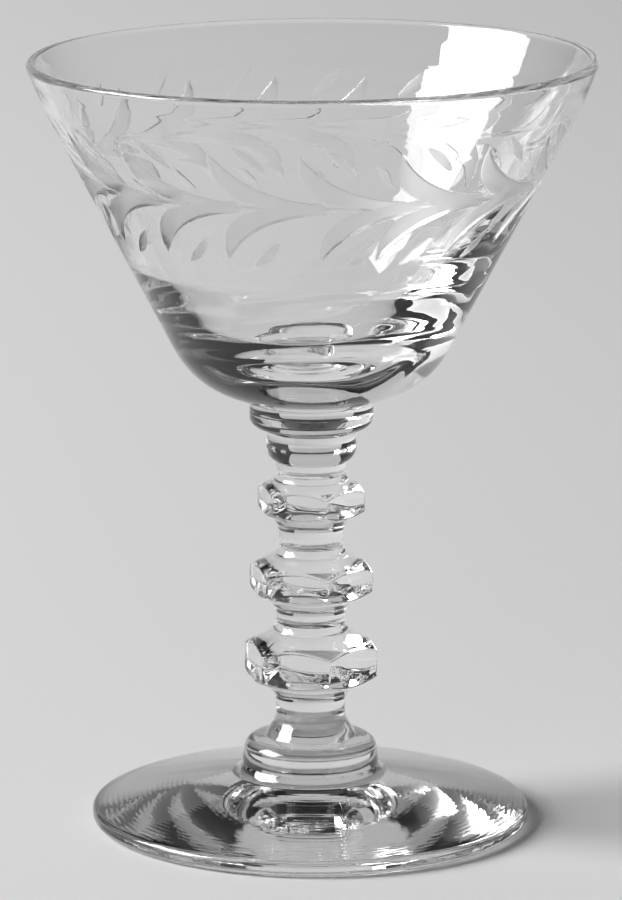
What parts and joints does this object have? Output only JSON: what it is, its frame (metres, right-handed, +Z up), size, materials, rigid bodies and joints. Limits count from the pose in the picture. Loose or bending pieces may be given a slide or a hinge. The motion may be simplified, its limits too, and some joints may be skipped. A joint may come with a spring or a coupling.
{
  "type": "cocktail glass",
  "caption": "Clear stemmed cocktail glass: conical bowl with a cut laurel band, stepped collar, stem with faceted hexagonal knops, cushion knop and wide foot.",
  "frame": {"origin": "centre of the resting plane under the foot", "axes": "+Z up along the axis of the glass, -Y towards the viewer of the picture, +X to the viewer's right"},
  "size_m": [0.0874, 0.0874, 0.1203],
  "materials": {
    "clear_glass": "clear colourless glass, fire polished, with satin ground leaves on the bowl"
  },
  "bodies": {
    "root": {"bowl": "clear_glass", "collar": "clear_glass", "stem": "clear_glass", "cushion": "clear_glass", "foot": "clear_glass"}
  },
  "joints": []
}
